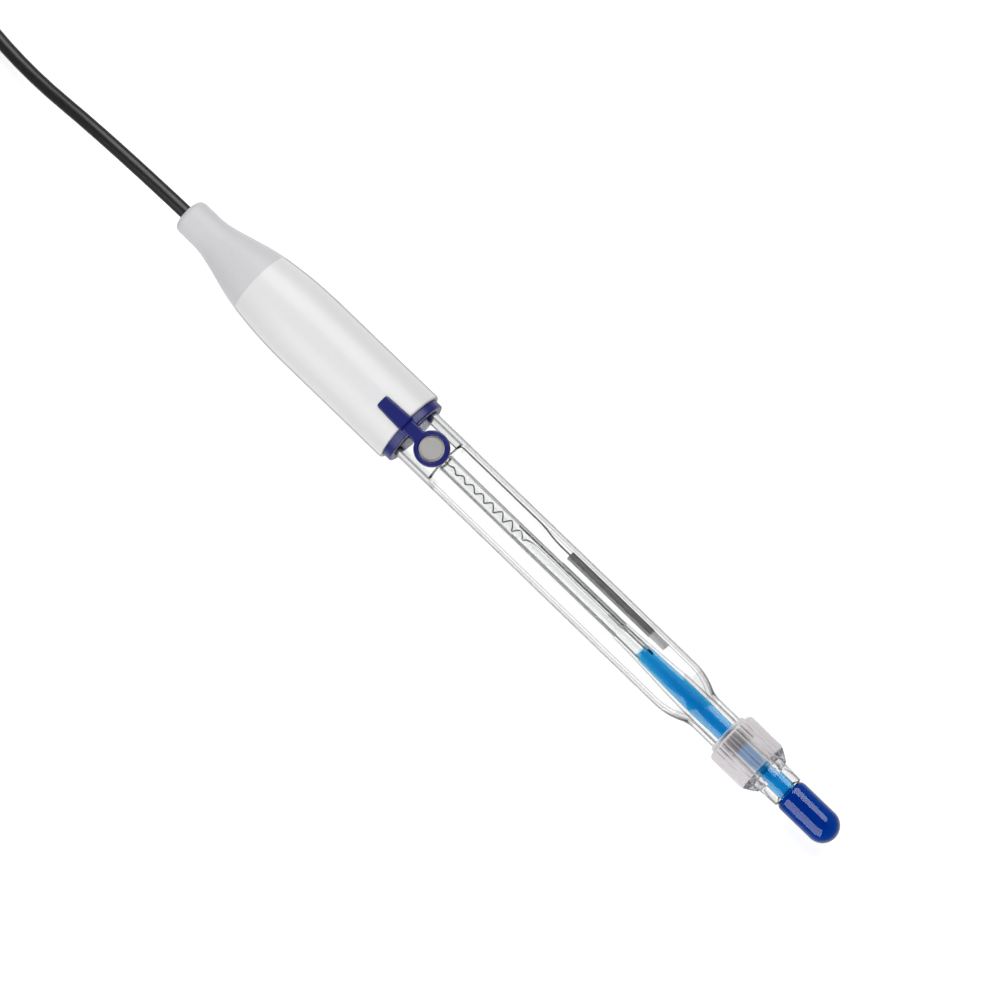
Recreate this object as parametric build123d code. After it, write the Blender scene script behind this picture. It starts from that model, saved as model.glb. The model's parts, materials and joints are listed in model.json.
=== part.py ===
from build123d import *
import math
import os

# A refillable glass pH electrode, lying on a table as it rests between measurements. All sizes are millimetres.
# Each piece is drawn on the electrode's own axis: x runs from the cap's mouth (0) to the tip, z points to the stopper.

# Cap: a moulded white handle with a barrel-shaped rear
cap_d = 16.9
cap_length = 42.8
cap_barrel_start = 28.0
cap_barrel_radius = 100.0
cap_rim_round = 0.5
chamber_d = 10.0
spigot_d = 11.0
spigot_length = 5.8

# Cable boot: a soft sleeve that tapers from the cap to the cable
boot_length = 21.1
boot_end_d = 8.0
boot_end_length = 5.4
boot_end_round = 1.5
boot_flare_start = 4.5
boot_flare_end = 6.5

# Outer glass: tube, rounded shoulder and neck
glass_d = 12.0
glass_wall = 1.0
glass_insert = 24.0
shoulder_start = 75.0
shoulder_length = 9.2
shoulder_fullness = 0.69
neck_d = 7.9
neck_length = 9.8
refill_x = 7.5
refill_d = 3.4
fill_level = 10.9
fill_meniscus = 0.5

# Inner stem: a thin tube that widens towards the tip and ends in a ground cone
stem_d = 3.1
stem_bore = 2.6
stem_flare_start = 60.0
stem_flare_length = 22.0
stem_wide_d = 4.6
stem_cone_start = 103.0
stem_cone_end_d = 6.2
gel_wide_x = 81.6
gel_wide_d = 3.36
gel_neck_x = 88.0
gel_neck_d = 3.2
gel_low_d = 3.1
gel_level = 66.1
gel_flare_length = 1.1

# Membrane bulb
tip_reach = 120.0
bulb_start = 107.2
bulb_d = 7.2
bulb_wall = 0.45
bulb_shoulder = 1.2

# Silver wires and the reference cartridge
wire_d = 0.3
coil_start = 11.8
coil_length = 21.6
coil_turns = 8
coil_first_r = 0.45
coil_last_r = 1.1
coil_points_per_turn = 4
element_x = 56.0
element_side = 0.85
element_head_d = 0.64
element_head_length = 5.0
element_d = 0.44
element_length = 12.0
cartridge_start = 42.0
cartridge_length = 23.0
cartridge_d = 1.5
cartridge_side = 3.0
cartridge_plug_d = 1.3
cartridge_plug_length = 4.0
reference_wire_side = 3.5
reference_wire_bend = 4.0
top_seal_length = 7.0

# Junction nut and sleeve, which slide together on the neck
nut_start = 89.7
nut_lip_d = 9.0
nut_lip_length = 0.9
nut_shoulder_d = 11.0
nut_shoulder_length = 0.6
nut_d = 11.8
nut_grip_length = 8.3
nut_front_length = 2.8
nut_front_d = 8.3
nut_ribs = 30
nut_groove_width = 0.7
nut_groove_depth = 0.3
sleeve_start = 98.6
sleeve_end = 107.0
sleeve_d = 7.5
sleeve_end_d = 7.2
o_ring_section = 1.0
o_ring_x = 92.3
o_ring_side_room = 0.1

# Silicone stopper: collar and tab, strap and ring, and the plug
collar_d = 15.2
collar_back = 0.4
collar_front = 1.9
collar_side_round = 0.35
tab_length = 6.6
tab_root_width = 3.4
tab_tip_width = 2.8
tab_corner_round = 0.8
tab_proud = 0.15
tab_bevel = 0.2
tab_sink = 0.25
strap_width = 2.8
strap_thickness = 1.6
ring_d = 7.5
ring_top = 7.95
ring_edge_round = 0.5
ring_mouth_round = 0.3
ring_seat = 0.15
plug_head_d = 5.3
plug_head_thickness = 0.9
plug_face_d = 4.5
plug_face_rise = 0.2
plug_head_sink = 0.4
plug_stem_d = 3.2
plug_stem_tip_d = 2.3
plug_stem_reach = 0.35

# Cable, hank and tie
cable_d = 3.0
cable_start = -44.0
boot_straight = 16.6
hank_center = (-197.0, 3.6)
hank_loop_centers = 24.5
hank_outer_r = 13.5
hank_inner_r = 7.5
hank_waist_width = 12.4
hank_waist_round = 10.0
hank_height = 9.0
hank_raised_height = 12.0
hank_raised_from = 33.0
tie_width = 3.5
tie_thickness = 0.8

# Plug: lengths run back from its mating face
coupling_d = 14.4
coupling_front_d = 12.8
coupling_front_length = 4.0
coupling_length = 13.6
coupling_bore = 9.8
coupling_bore_depth = 8.8
coupling_chamber_d = 12.0
coupling_lip = 1.2
coupling_grooves = 36
coupling_groove_width = 0.8
coupling_groove_depth = 0.35
coupling_slot_width = 2.3
coupling_slot_start = 1.6
coupling_slot_end = 5.6
coupling_slot_turn = 55.0
coupling_slot_steps = 6
contact_d = 8.1
contact_bore = 6.8
contact_start = 0.8
contact_depth = 5.2
flange_start = 9.0
flange_thickness = 1.2
flange_d = 9.6
body_neck_d = 8.9
body_rear_start = 14.0
body_rear_length = 4.0
body_rear_d = 10.4
crimp_d = 5.0
crimp_length = 5.0
ferrule_d = 6.4
ferrule_wall = 0.6
ferrule_length = 5.9
gasket_thickness = 0.95
washer_thickness = 0.8
retainer_thickness = 0.5
retainer_sink = 0.25
insulator_nose_d = 4.8
insulator_nose_length = 1.4
insulator_length = 7.4
pin_d = 1.37
pin_start = 1.6
pin_length = 12.2
pin_point = 0.7
plug_front_inset = 1.0
plug_boot_length = 14.0
plug_boot_d = 7.8
plug_boot_end_d = 5.2
plug_boot_rings = 3
plug_boot_ring_depth = 0.45
plug_boot_ring_width = 1.1

# Clearances
running = 0.05
sliding = 0.03
fluid_gap = 0.02
press = 0.01
seat = 0.3
hinge_room = 0.2

# Radii and stations that several pieces share
cap_r = cap_d / 2
glass_r = glass_d / 2
bore_r = glass_r - glass_wall
neck_r = neck_d / 2
neck_bore_r = neck_r - glass_wall
neck_start = shoulder_start + shoulder_length
neck_end = neck_start + neck_length
stem_r = stem_d / 2
stem_wide_r = stem_wide_d / 2
stem_flare_end = stem_flare_start + stem_flare_length
bulb_r = bulb_d / 2
cable_r = cable_d / 2
wire_r = wire_d / 2
nut_r = nut_d / 2
spigot_end = -cap_length + spigot_length
boot_end = -cap_length - boot_length
collar_seat_r = collar_d / 2
nut_rim_x = nut_start + nut_lip_length + nut_shoulder_length + nut_grip_length
hinge_x = collar_front + hinge_room + strap_thickness / 2
hinge_z = glass_r + seat + strap_thickness / 2

# The electrode lies on the rounded rim of its cap and on the front edge of its nut, so its tip points slightly down
rest_angle = math.degrees(math.atan((cap_r - nut_r) / (nut_rim_x + cap_rim_round)))
rest_sin = math.sin(math.radians(rest_angle))
rest_cos = math.cos(math.radians(rest_angle))
rest_lift = nut_r * rest_cos + nut_rim_x * rest_sin
back_reach = boot_end * rest_cos - (boot_end_d / 2 - boot_end_round) * rest_sin
front_reach = (tip_reach - bulb_r) * rest_cos + bulb_r
middle = (back_reach + front_reach) / 2
lay_down = Pos(-middle, 0, rest_lift) * Rot(0, rest_angle, 0)


def on_table(x, y=0.0, z=0.0):
    """Where a point of the electrode's own axes lies once it is laid down."""
    return (x * rest_cos + z * rest_sin - middle, y, z * rest_cos - x * rest_sin + rest_lift)


def turned(*edges):
    """A solid turned about the X axis from a closed outline above it."""
    return revolve(make_face(list(edges)), Axis.X)


def turned_points(*points):
    """A solid turned about the X axis from a closed outline of straight lines."""
    return turned(Polyline(*points, close=True))


def tube(start, end, outer_r, inner_r):
    """A plain ring or tube along the X axis."""
    return turned_points((start, inner_r), (start, outer_r), (end, outer_r), (end, inner_r))


def rod(start, end, radius, side=0.0):
    """A solid round rod along the X axis, beside it by side."""
    return Pos((start + end) / 2, side, 0) * Rot(0, 90, 0) * Cylinder(radius, end - start)


def rim(solid, end):
    """The widest round edge at one end of a turned piece: end is 0 at the cable's side and -1 at the tip's."""
    return solid.edges().filter_by(GeomType.CIRCLE).group_by(Axis.X)[end].sort_by(SortBy.RADIUS)[-1]


def ogee(x0, r0, x1, r1, fullness):
    """Two tangent arcs from (x0, r0) down to (x1, r1), level at both ends; fullness is the first arc's share."""
    run, drop = x1 - x0, r0 - r1
    radii = (run * run + drop * drop) / (2 * drop)
    angle = math.asin(run / radii)
    bulge, hollow = fullness * radii, (1 - fullness) * radii
    meet = (x0 + bulge * math.sin(angle), r0 - bulge * (1 - math.cos(angle)))
    first_middle = (x0 + bulge * math.sin(angle / 2), r0 - bulge * (1 - math.cos(angle / 2)))
    last_middle = (x1 - hollow * math.sin(angle / 2), r1 + hollow * (1 - math.cos(angle / 2)))
    return [ThreePointArc((x0, r0), first_middle, meet), ThreePointArc(meet, last_middle, (x1, r1))]


def round_wire(path, radius):
    """A round wire or cable swept along a path of straight runs and tangent arcs."""
    return sweep(Plane(path @ 0, z_dir=path % 0) * Circle(radius), path)


# Cap and boot
cap_rear_r = cap_r - cap_barrel_radius + math.sqrt(cap_barrel_radius**2 - (cap_length - cap_barrel_start) ** 2)
cap_rear_slope = (cap_length - cap_barrel_start) / math.sqrt(
    cap_barrel_radius**2 - (cap_length - cap_barrel_start) ** 2
)
glass_seat_r = glass_r + running
tab_floor_r = collar_seat_r - tab_sink - running


def tab_outline(grow):
    """The pull tab seen from above, with a rounded tip; grow widens it for the slot that it lies in."""
    tip, root = tab_tip_width / 2 + grow, tab_root_width / 2 + grow
    outline = Polyline(
        (-tab_length - grow, -tip), (0, -root), (0, root), (-tab_length - grow, tip), (-tab_length - grow, -tip)
    )
    flat = make_face(outline)
    return fillet(flat.vertices().sort_by(Axis.X)[:2], tab_corner_round)


def make_cap():
    barrel_middle = (cap_barrel_start + cap_length) / 2
    barrel_drop = cap_barrel_radius - math.sqrt(cap_barrel_radius**2 - (barrel_middle - cap_barrel_start) ** 2)
    barrel = ThreePointArc(
        (-cap_length, cap_rear_r), (-barrel_middle, cap_r - barrel_drop), (-cap_barrel_start, cap_r)
    )
    walls = Polyline(
        (-cap_barrel_start, cap_r),
        (0, cap_r),
        (0, collar_seat_r + running),
        (-collar_back - running, collar_seat_r + running),
        (-collar_back - running, glass_seat_r),
        (-glass_insert - running, glass_seat_r),
        (-glass_insert - running, chamber_d / 2),
        (spigot_end, chamber_d / 2),
        (spigot_end, spigot_d / 2),
        (-cap_length, spigot_d / 2),
        (-cap_length, cap_rear_r),
    )
    cap = turned(barrel, walls)
    cap = fillet(rim(cap, -1), cap_rim_round)
    slot = Pos(0, 0, tab_floor_r) * extrude(tab_outline(running), cap_r)
    return cap - slot


def make_boot():
    flare_start = boot_end + boot_end_length
    flare_in = (-cap_length - boot_flare_end, cap_rear_r - boot_flare_end * cap_rear_slope)
    flare = Bezier(
        (flare_start, boot_end_d / 2),
        (flare_start + boot_flare_start, boot_end_d / 2),
        flare_in,
        (-cap_length, cap_rear_r),
    )
    walls = Polyline(
        (-cap_length, cap_rear_r),
        (-cap_length, spigot_d / 2 - running),
        (spigot_end - running, spigot_d / 2 - running),
        (spigot_end - running, 0),
        (cable_start, 0),
        (cable_start, cable_r + running),
        (boot_end, cable_r + running),
        (boot_end, boot_end_d / 2),
        (flare_start, boot_end_d / 2),
    )
    return fillet(rim(turned(flare, walls), 0), boot_end_round)


def make_potting():
    return rod(spigot_end, -glass_insert - running, chamber_d / 2 - press)


# Outer glass with its fill, and the seal at its top
def make_outer_glass():
    outside = ogee(shoulder_start, glass_r, neck_start, neck_r, shoulder_fullness)
    inside = ogee(shoulder_start, bore_r, neck_start, neck_bore_r, shoulder_fullness)
    glass = turned(
        Polyline((shoulder_start, bore_r), (-glass_insert, bore_r), (-glass_insert, glass_r), (shoulder_start, glass_r)),
        *outside,
        Polyline((neck_start, neck_r), (neck_end, neck_r), (neck_end, neck_bore_r), (neck_start, neck_bore_r)),
        *inside,
    )
    return glass - Pos(refill_x, 0, glass_r) * Cylinder(refill_d / 2, glass_r)


def stem_outside(gap):
    """The stem's outer line from its top to its cone's end, gap outside the glass."""
    return [
        Line((-glass_insert, stem_r + gap), (stem_flare_start, stem_r + gap)),
        Spline(
            (stem_flare_start, stem_r + gap), (stem_flare_end, stem_wide_r + gap), tangents=[(1, 0), (1, 0)]
        ),
        Line((stem_flare_end, stem_wide_r + gap), (stem_cone_start, stem_wide_r + gap)),
    ]


def stem_bore_line(gap):
    """The stem's bore from the flare's start to its widening at the bulb, gap inside the glass."""
    return Spline(
        (stem_flare_start, stem_bore / 2 - gap),
        (gel_wide_x, gel_wide_d / 2 - gap),
        (gel_neck_x, gel_neck_d / 2 - gap),
        (stem_cone_start, gel_low_d / 2 - gap),
        tangents=[(1, 0), (1, 0)],
    )


def make_stem():
    throat_r = bulb_throat_r()
    return turned(
        *stem_outside(0),
        Polyline((stem_cone_start, stem_wide_r), (bulb_start, stem_cone_end_d / 2), (bulb_start, throat_r)),
        Polyline((bulb_start, throat_r), (bulb_start - gel_flare_length, gel_low_d / 2)),
        Line((bulb_start - gel_flare_length, gel_low_d / 2), (stem_cone_start, gel_low_d / 2)),
        stem_bore_line(0),
        Polyline((stem_flare_start, stem_bore / 2), (-glass_insert, stem_bore / 2), (-glass_insert, stem_r)),
    )


def bulb_throat_r():
    return stem_cone_end_d / 2 - bulb_wall


def bulb_side(radius, start_r, shoulder):
    """The bulb's line from its start to its end on the axis, for its outside or its inside."""
    center = tip_reach - bulb_r
    cos45 = math.sqrt(0.5)
    knee = (bulb_start + shoulder * (1 - cos45), start_r + (radius - start_r) * cos45)
    return [
        ThreePointArc((bulb_start, start_r), knee, (bulb_start + shoulder, radius)),
        Line((bulb_start + shoulder, radius), (center, radius)),
        ThreePointArc((center, radius), (center + radius * cos45, radius * cos45), (center + radius, 0)),
    ]


def make_bulb():
    inner_r = bulb_r - bulb_wall
    center = tip_reach - bulb_r
    return turned(
        *bulb_side(bulb_r, stem_cone_end_d / 2, bulb_shoulder),
        Line((center + bulb_r, 0), (center + inner_r, 0)),
        *bulb_side(inner_r, bulb_throat_r(), bulb_shoulder),
        Line((bulb_start, bulb_throat_r()), (bulb_start, stem_cone_end_d / 2)),
    )


def make_gel():
    inner_r = bulb_r - bulb_wall - fluid_gap
    center = tip_reach - bulb_r
    whole = turned(
        Line((stem_flare_start, 0), (stem_flare_start, stem_bore / 2 - fluid_gap)),
        stem_bore_line(fluid_gap),
        Line(
            (stem_cone_start, gel_low_d / 2 - fluid_gap), (bulb_start - gel_flare_length, gel_low_d / 2 - fluid_gap)
        ),
        Line(
            (bulb_start - gel_flare_length, gel_low_d / 2 - fluid_gap), (bulb_start, bulb_throat_r() - fluid_gap)
        ),
        *bulb_side(inner_r, bulb_throat_r() - fluid_gap, bulb_shoulder),
        Line((center + inner_r, 0), (stem_flare_start, 0)),
    )
    above = rod(stem_flare_start - stem_r, gel_level, stem_r)
    return whole - above - make_element(fluid_gap)


def make_electrolyte():
    wall_r = bore_r - fluid_gap
    fill = turned(
        ThreePointArc(
            (fill_level - fill_meniscus, stem_r + fluid_gap),
            (fill_level, (stem_r + wall_r) / 2),
            (fill_level - fill_meniscus, wall_r),
        ),
        Line((fill_level - fill_meniscus, wall_r), (shoulder_start, wall_r)),
        *ogee(shoulder_start, wall_r, neck_start, neck_bore_r - fluid_gap, shoulder_fullness),
        Polyline(
            (neck_start, neck_bore_r - fluid_gap),
            (neck_end, neck_bore_r - fluid_gap),
            (neck_end, stem_wide_r + fluid_gap),
            (stem_flare_end, stem_wide_r + fluid_gap),
        ),
        stem_outside(fluid_gap)[1],
        Line((stem_flare_start, stem_r + fluid_gap), (fill_level - fill_meniscus, stem_r + fluid_gap)),
    )
    return fill - make_cartridge(fluid_gap) - make_cartridge_plug(fluid_gap) - make_reference_wire(fluid_gap)


def make_top_seal():
    seal = tube(-glass_insert, top_seal_length - glass_insert, bore_r - press, stem_r + press)
    return seal - rod(-glass_insert, top_seal_length, wire_r + press, reference_wire_side)


# Wires, element and cartridge
def make_inner_wire():
    points = [(-glass_insert, 0, 0), (coil_start - coil_last_r, 0, 0)]
    steps = coil_turns * coil_points_per_turn
    for step in range(steps + 1):
        share = step / steps
        angle = 2 * math.pi * step / coil_points_per_turn
        radius = coil_first_r + (coil_last_r - coil_first_r) * share
        points.append((coil_start + coil_length * share, radius * math.sin(angle), radius * math.cos(angle)))
    points.append((coil_start + coil_length + 2 * coil_last_r, element_side, 0))
    points.append((element_x, element_side, 0))
    return round_wire(FilletPolyline(*points, radius=bend_radii(points)), wire_r)


def bend_radii(points, share=0.45):
    """The radius at each corner of a route: share of the shorter run, over the tangent of half the turn."""
    radii = []
    for before, at, after in zip(points, points[1:], points[2:]):
        run_in, run_out = Vector(*at) - Vector(*before), Vector(*after) - Vector(*at)
        half_turn = math.radians(run_in.get_angle(run_out) / 2)
        radii.append(share * min(run_in.length, run_out.length) / math.tan(half_turn))
    return radii


def make_element(gap):
    head_end = element_x + element_head_length
    head = rod(element_x, head_end, element_head_d / 2 + gap, element_side)
    return head + rod(head_end, element_x + element_length + gap, element_d / 2 + gap, element_side)


def make_cartridge(gap):
    return rod(cartridge_start - gap, cartridge_start + cartridge_length, cartridge_d / 2 + gap, cartridge_side)


def make_cartridge_plug(gap):
    start = cartridge_start + cartridge_length
    return rod(start, start + cartridge_plug_length + gap, cartridge_plug_d / 2 + gap, cartridge_side)


def make_reference_wire(gap):
    points = [
        (-glass_insert, reference_wire_side, 0),
        (cartridge_start - 2 * reference_wire_bend, reference_wire_side, 0),
        (cartridge_start - reference_wire_bend, cartridge_side, 0),
        (cartridge_start, cartridge_side, 0),
    ]
    return round_wire(FilletPolyline(*points, radius=bend_radii(points)), wire_r + gap)


# Junction nut, sleeve and seal
def make_nut():
    shoulder_x = nut_start + nut_lip_length
    grip_x = shoulder_x + nut_shoulder_length
    front_x = nut_rim_x + nut_front_length
    slide_r = neck_r + sliding
    blank = turned_points(
        (nut_start, slide_r),
        (nut_start, nut_lip_d / 2),
        (shoulder_x, nut_lip_d / 2),
        (shoulder_x, nut_shoulder_d / 2),
        (grip_x, nut_r),
        (nut_rim_x, nut_r),
        (front_x, nut_front_d / 2),
        (front_x, sleeve_d / 2 + press),
        (sleeve_start, sleeve_d / 2 + press),
        (sleeve_start, slide_r),
    )
    groove_r = neck_r + sliding + o_ring_section + o_ring_side_room
    half_groove = o_ring_section / 2 + o_ring_side_room
    blank -= tube(o_ring_x - half_groove, o_ring_x + half_groove, groove_r, slide_r / 2)
    return blank - grip_grooves(
        shoulder_x, front_x, nut_r, nut_ribs, nut_groove_width, nut_groove_depth, half_step=True
    )


def grip_grooves(start, end, radius, count, width, depth, half_step):
    """V-shaped grooves along a round grip; with half_step a crest, not a groove, is at its lowest point."""
    section = Polyline(
        (0, -width / 2, radius + depth), (0, width / 2, radius + depth), (0, 0, radius - depth), close=True
    )
    groove = Pos(start, 0, 0) * extrude(make_face(section), end - start, dir=(1, 0, 0))
    first = 180 / count if half_step else 0
    return [Rot(first + 360 * k / count, 0, 0) * groove for k in range(count)]


def make_sleeve():
    slope = (stem_cone_end_d / 2 - stem_wide_r) / (bulb_start - stem_cone_start)
    seat_end_r = stem_wide_r + slope * (sleeve_end - stem_cone_start) + running
    return turned_points(
        (sleeve_start, stem_wide_r + running),
        (sleeve_start, sleeve_d / 2),
        (nut_rim_x + nut_front_length, sleeve_d / 2),
        (sleeve_end, sleeve_end_d / 2),
        (sleeve_end, seat_end_r),
        (stem_cone_start, stem_wide_r + running),
    )


def make_o_ring():
    section_r = o_ring_section / 2
    return Pos(o_ring_x, 0, 0) * Rot(0, 90, 0) * Torus(neck_r + sliding + section_r, section_r)


# Silicone stopper
def make_collar():
    ring = fillet(rim(tube(-collar_back, collar_front, collar_seat_r, glass_r + press), 1), collar_side_round)
    tab = Pos(0, 0, tab_floor_r + running) * extrude(tab_outline(0), cap_r)
    tab &= rod(-tab_length - running, running, cap_r + tab_proud)
    tab = chamfer(tab.faces().sort_by(Axis.Z)[-1].edges(), tab_bevel)
    root = Pos(collar_front / 2, 0, hinge_z) * Box(collar_front, strap_width, strap_thickness)
    return ring + tab + root


def make_ring():
    strap_end = refill_x - plug_head_d / 2
    middle_x = (hinge_x + strap_end) / 2
    strap = Pos(middle_x, 0, hinge_z) * Box(strap_end - hinge_x, strap_width, strap_thickness)
    knuckle = Pos(hinge_x, 0, hinge_z) * Rot(90, 0, 0) * Cylinder(strap_thickness / 2, strap_width)
    pad = Pos(refill_x, 0, ring_top / 2) * Cylinder(ring_d / 2, ring_top)
    pad = fillet(pad.edges().filter_by(GeomType.CIRCLE).sort_by(Axis.Z)[-1], ring_edge_round)
    ring = strap + knuckle + pad
    ring -= rod(-glass_insert, tip_reach, glass_r + ring_seat)
    ring -= Pos(refill_x, 0, glass_r) * Cylinder(plug_stem_d / 2 + press, glass_r)
    head_room = plug_head_thickness + plug_head_sink
    ring -= Pos(refill_x, 0, ring_top - head_room / 2) * Cylinder(plug_head_d / 2 + press, head_room)
    lower = Pos(refill_x, 0, 0) * Box(ring_d, ring_d, glass_r)
    mouth = [edge for edge in ring.edges().filter_by(GeomType.CIRCLE) if abs(edge.center().Z - ring_top) < press]
    inner_mouth = [edge for edge in mouth if edge.radius < ring_d / 2 - ring_edge_round - press]
    return fillet(inner_mouth, ring_mouth_round) - lower


def make_plug():
    head_top = ring_top - plug_head_sink
    head_bottom = head_top - plug_head_thickness
    head = Pos(refill_x, 0, (head_top + head_bottom) / 2) * Cylinder(plug_head_d / 2, plug_head_thickness)
    head += Pos(refill_x, 0, head_top + plug_face_rise / 2) * Cylinder(plug_face_d / 2, plug_face_rise)
    neck_height = head_bottom - glass_r
    neck = Pos(refill_x, 0, glass_r + neck_height / 2) * Cylinder(plug_stem_d / 2, neck_height)
    taper_length = glass_wall + plug_stem_reach
    taper = Pos(refill_x, 0, glass_r - taper_length / 2) * Cone(plug_stem_tip_d / 2, plug_stem_d / 2, taper_length)
    return head + neck + taper


# Cable and hank, on the table
def make_cable(path_points, radius):
    return round_wire(FilletPolyline(*path_points, radius=bend_radii(path_points)), radius)


def cable_points():
    """The cable from inside its boot down to the table and into the hank."""
    hank_x, hank_y = hank_center
    return [
        on_table(cable_start),
        on_table(boot_end - boot_straight),
        (-147.0, -2.6, cable_r),
        (hank_x + hank_loop_centers - 8.0, hank_y + cable_r, cable_r),
    ]


def plug_place():
    """The plug's mating face: it lies on the hank, with its axis above the strand that leads to it."""
    hank_x, hank_y = hank_center
    front_x = hank_x - hank_loop_centers - hank_outer_r + plug_front_inset
    return (front_x, hank_y + cable_r, hank_height + seat + coupling_d / 2)


def tail_points():
    """The cable's last stretch, from the top of the hank up to the plug's crimp."""
    hank_x, hank_y = hank_center
    front_x, plug_y, plug_z = plug_place()
    low = hank_height + running + cable_r
    crimp_end = body_rear_start + body_rear_length + crimp_length + running
    return [
        (hank_x + hank_raised_from, hank_y + 8.0, low),
        (hank_x + 19.5, hank_y + 8.0, low),
        (hank_x + 2.7, plug_y, plug_z),
        (front_x + crimp_end, plug_y, plug_z),
    ]


def make_hank():
    hank_x, hank_y = hank_center
    loops = Pos(-hank_loop_centers, 0) * Circle(hank_outer_r) + Pos(hank_loop_centers, 0) * Circle(hank_outer_r)
    outline = loops + Rectangle(2 * hank_loop_centers, hank_waist_width)
    corners = [v for v in outline.vertices() if abs(abs(v.Y) - hank_waist_width / 2) < running]
    outline = fillet(corners, hank_waist_round)
    outline -= Pos(-hank_loop_centers, 0) * Circle(hank_inner_r)
    outline -= Pos(hank_loop_centers, 0) * Circle(hank_inner_r)
    reach = hank_loop_centers + hank_outer_r
    raised = outline & (Pos((hank_raised_from + reach) / 2, 0) * Rectangle(reach - hank_raised_from, 2 * reach))
    hank = extrude(outline, hank_height) + extrude(raised, hank_raised_height)
    hank -= Box(tie_width + 2 * running, hank_waist_width, 2 * (tie_thickness + running))
    return Pos(hank_x, hank_y, 0) * hank - make_cable(cable_points(), cable_r + running)


def make_tie():
    hank_x, hank_y = hank_center
    inner_width = hank_waist_width + 2 * running
    inner_height = hank_height - tie_thickness + running
    inner = Box(tie_width, inner_width, inner_height)
    outer = Box(tie_width, inner_width + 2 * tie_thickness, inner_height + 2 * tie_thickness)
    outer = fillet(outer.edges().filter_by(Axis.X), tie_thickness)
    return Pos(hank_x, hank_y, tie_thickness + inner_height / 2) * (outer - inner)


# Plug at the cable's far end, drawn from its mating face at x = 0
def make_coupling():
    chamber_end = coupling_length - coupling_lip
    blank = turned_points(
        (0, coupling_bore / 2),
        (0, coupling_front_d / 2),
        (coupling_front_length, coupling_front_d / 2),
        (coupling_front_length, coupling_d / 2),
        (coupling_length, coupling_d / 2),
        (coupling_length, body_neck_d / 2 + running),
        (chamber_end, body_neck_d / 2 + running),
        (chamber_end, coupling_chamber_d / 2),
        (coupling_bore_depth, coupling_chamber_d / 2),
        (coupling_bore_depth, coupling_bore / 2),
    )
    blank -= grip_grooves(
        coupling_front_length,
        coupling_length,
        coupling_d / 2,
        coupling_grooves,
        coupling_groove_width,
        coupling_groove_depth,
        half_step=True,
    )
    return blank - bayonet_slots()


def bayonet_slots():
    """Two slots through the front wall, each a row of round holes along a short helix from the front edge."""
    cuts = []
    for side in (0, 180):
        for step in range(coupling_slot_steps + 1):
            share = step / coupling_slot_steps
            x = coupling_slot_start + (coupling_slot_end - coupling_slot_start) * share
            angle = side + coupling_slot_turn * share
            hole = Pos(x, 0, coupling_d / 2) * Cylinder(coupling_slot_width / 2, coupling_d / 2)
            cuts.append(Rot(angle, 0, 0) * hole)
        mouth = Pos(coupling_slot_start / 2, 0, coupling_d / 2)
        cuts.append(Rot(side, 0, 0) * mouth * Box(coupling_slot_start, coupling_slot_width, coupling_d / 2))
    return cuts


def make_plug_body():
    rear_end = body_rear_start + body_rear_length
    body = turned_points(
        (contact_start, contact_bore / 2),
        (contact_start, contact_d / 2),
        (flange_start, contact_d / 2),
        (flange_start, flange_d / 2),
        (flange_start + flange_thickness, flange_d / 2),
        (flange_start + flange_thickness, body_neck_d / 2),
        (body_rear_start, body_neck_d / 2),
        (body_rear_start, body_rear_d / 2),
        (rear_end, body_rear_d / 2),
        (rear_end, crimp_d / 2),
        (rear_end + crimp_length, crimp_d / 2),
        (rear_end + crimp_length, cable_r / 2),
        (contact_depth + insulator_length, cable_r / 2),
        (contact_depth + insulator_length, contact_bore / 2),
    )
    retainer_x = coupling_length - coupling_lip - retainer_thickness - running
    return body - tube(retainer_x, retainer_x + retainer_thickness, body_neck_d, body_neck_d / 2 - retainer_sink)


def make_retaining_ring():
    start = coupling_length - coupling_lip - retainer_thickness - running
    ring = tube(
        start + press, start + retainer_thickness - press, coupling_chamber_d / 2 - seat,
        body_neck_d / 2 - retainer_sink + press,
    )
    return ring - Pos(start, 0, coupling_chamber_d / 2) * Box(2, body_neck_d / 4, coupling_chamber_d)


def make_spring_washer():
    start = flange_start + flange_thickness + running
    return tube(start, start + washer_thickness, coupling_chamber_d / 2 - seat, body_neck_d / 2 + running)


def make_gasket():
    end = flange_start - press
    return tube(end - gasket_thickness, end, coupling_bore / 2 - running, contact_d / 2 + press)


def make_insulator():
    start = contact_depth
    nose = start + insulator_nose_length
    end = start + insulator_length - press
    return turned_points(
        (start, pin_d / 2 + press),
        (start, insulator_nose_d / 2),
        (nose, insulator_nose_d / 2),
        (nose, contact_bore / 2 - press),
        (end, contact_bore / 2 - press),
        (end, pin_d / 2 + press),
    )


def make_pin():
    end = pin_start + pin_length
    return turned_points(
        (pin_start, 0), (pin_start + pin_point, pin_d / 2), (end, pin_d / 2), (end, 0)
    ) & rod(pin_start, contact_depth + insulator_length, pin_d)


def make_ferrule():
    start = body_rear_start + body_rear_length + press
    return tube(start, start + ferrule_length, ferrule_d / 2, ferrule_d / 2 - ferrule_wall)


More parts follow.
